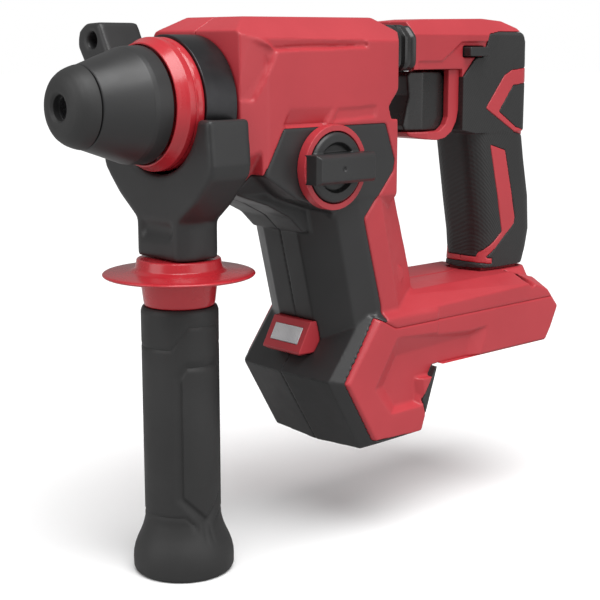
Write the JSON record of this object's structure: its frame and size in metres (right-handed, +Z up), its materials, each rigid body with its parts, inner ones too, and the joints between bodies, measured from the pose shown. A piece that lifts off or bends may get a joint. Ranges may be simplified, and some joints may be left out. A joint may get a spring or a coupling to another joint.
{
  "type": "rotary hammer",
  "caption": "Cordless rotary hammer, bare tool: bit chuck, hammer mechanism, motor column, mode knob, sprung rear handle with trigger, battery foot and clamp-on side handle.",
  "frame": {"origin": "centre of the bit bore at the nose face", "axes": "-X along the bit towards the work, +Z up, -Y towards the tool's left side"},
  "size_m": [0.294, 0.105, 0.2493],
  "materials": {
    "red_plastic": "satin moulded glass-filled nylon",
    "black_plastic": "satin moulded nylon",
    "soft_rubber": "soft matt thermoplastic rubber",
    "black_steel": "black oxide steel",
    "steel": "ground steel",
    "cast_alloy": "die cast",
    "copper": "enamelled copper",
    "lens": "clear polycarbonate",
    "board": "solder mask"
  },
  "bodies": {
    "housing": {"housing_left": "red_plastic", "housing_right": "red_plastic", "front_cover_left": "black_plastic", "front_cover_right": "black_plastic", "foot_panel_left": "red_plastic", "foot_panel_right": "red_plastic", "nose_collar": "red_plastic", "dial_bezel": "red_plastic", "led_housing": "red_plastic", "led_lens": "lens", "led_board": "board", "gear_case": "cast_alloy", "stator_core": "steel", "stator_windings": "copper", "motor_bearings": "steel", "crank_bearings": "steel", "layshaft_bearing": "steel", "front_bearing": "steel", "rear_bearing": "steel", "oil_seal": "soft_rubber", "controller": "black_plastic", "terminal_block": "black_plastic", "battery_terminals": "copper", "housing_screws": "steel", "handle_pivot_pin": "steel"},
    "spindle": {"spindle_tube": "steel", "spindle_gear": "steel", "locking_balls": "steel", "dust_cap": "soft_rubber", "sleeve_spring": "steel", "spring_washer": "steel"},
    "sleeve": {"locking_sleeve": "black_plastic"},
    "impact_bolt": {"impact_bolt": "steel"},
    "striker": {"striker": "steel", "striker_ring": "soft_rubber"},
    "piston": {"piston": "steel", "piston_ring": "soft_rubber", "wrist_pin": "steel"},
    "rod": {"connecting_rod": "steel"},
    "crank": {"crankshaft": "steel", "crank_gear": "steel"},
    "layshaft": {"layshaft": "steel", "layshaft_gear": "steel"},
    "rotor": {"rotor": "steel", "motor_shaft": "steel", "cooling_fan": "black_plastic"},
    "mode_knob": {"mode_knob": "black_plastic"},
    "rear_handle": {"handle_left": "red_plastic", "handle_right": "red_plastic", "handle_overmold": "soft_rubber", "trigger_guard": "red_plastic", "switch_body": "black_plastic", "handle_springs": "steel", "vibration_bellows": "soft_rubber"},
    "trigger": {"trigger": "black_plastic"},
    "reverse_lever": {"reverse_lever": "black_plastic"},
    "side_handle": {"clamp_saddle": "black_plastic", "clamp_band": "black_steel"},
    "side_grip": {"grip_core": "red_plastic", "grip_sleeve": "soft_rubber"}
  },
  "joints": [
    {"name": "spindle_turn", "type": "hinge", "parent": "housing", "child": "spindle", "pos_m": [0.05, 0, 0], "axis": [1, 0, 0], "continuous": true},
    {"name": "layshaft_turn", "type": "hinge", "parent": "housing", "child": "layshaft", "pos_m": [0.096, 0, -0.033], "axis": [0, 0, 1], "continuous": true},
    {"name": "crank_turn", "type": "hinge", "parent": "housing", "child": "crank", "pos_m": [0.127, 0, -0.033], "axis": [0, 0, 1], "continuous": true},
    {"name": "rotor_turn", "type": "hinge", "parent": "housing", "child": "rotor", "pos_m": [0.149, 0, -0.06], "axis": [0, 0, 1], "continuous": true},
    {"name": "sleeve_slide", "type": "slide", "parent": "spindle", "child": "sleeve", "axis": [1, 0, 0], "range_m": [0, 0.006], "stiffness_N_per_m": 1500, "springref_m": -0.004, "deforming": ["sleeve_spring"]},
    {"name": "bolt_slide", "type": "slide", "parent": "spindle", "child": "impact_bolt", "axis": [1, 0, 0], "range_m": [0, 0.003]},
    {"name": "striker_slide", "type": "slide", "parent": "spindle", "child": "striker", "axis": [1, 0, 0], "range_m": [0, 0.0025]},
    {"name": "piston_slide", "type": "slide", "parent": "housing", "child": "piston", "axis": [1, 0, 0], "range_m": [0, 0.016]},
    {"name": "rod_swing", "type": "hinge", "parent": "piston", "child": "rod", "pos_m": [0.089, 0, 0.0035], "axis": [0, 0, 1], "range_deg": [-15.5, 15.5]},
    {"name": "mode_turn", "type": "hinge", "parent": "housing", "child": "mode_knob", "pos_m": [0.118, -0.038, -0.0285], "axis": [0, -1, 0], "range_deg": [-90, 135]},
    {"name": "handle_rock", "type": "hinge", "parent": "housing", "child": "rear_handle", "pos_m": [0.266, 0, -0.098], "axis": [0, -1, 0], "range_deg": [0, 1.5], "stiffness_Nm_per_rad": 260, "springref_deg": -1.15, "deforming": ["vibration_bellows", "handle_springs"]},
    {"name": "trigger_pull", "type": "slide", "parent": "rear_handle", "child": "trigger", "axis": [1, 0, 0], "range_m": [0, 0.006], "stiffness_N_per_m": 900, "springref_m": -0.003},
    {"name": "reverse_shift", "type": "slide", "parent": "rear_handle", "child": "reverse_lever", "axis": [0, 1, 0], "range_m": [-0.003, 0.003]},
    {"name": "side_handle_swivel", "type": "hinge", "parent": "housing", "child": "side_handle", "pos_m": [0.0595, 0, 0], "axis": [1, 0, 0], "range_deg": [-90, 90]},
    {"name": "side_grip_turn", "type": "hinge", "parent": "side_handle", "child": "side_grip", "pos_m": [0.0595, 0, -0.1], "axis": [0, 0, -1], "continuous": true}
  ],
  "couplings": [
    {"joint": "layshaft_turn", "follows": "spindle_turn", "ratio": -5},
    {"joint": "crank_turn", "follows": "spindle_turn", "ratio": 3.6111},
    {"joint": "rotor_turn", "follows": "spindle_turn", "ratio": -16.25}
  ]
}
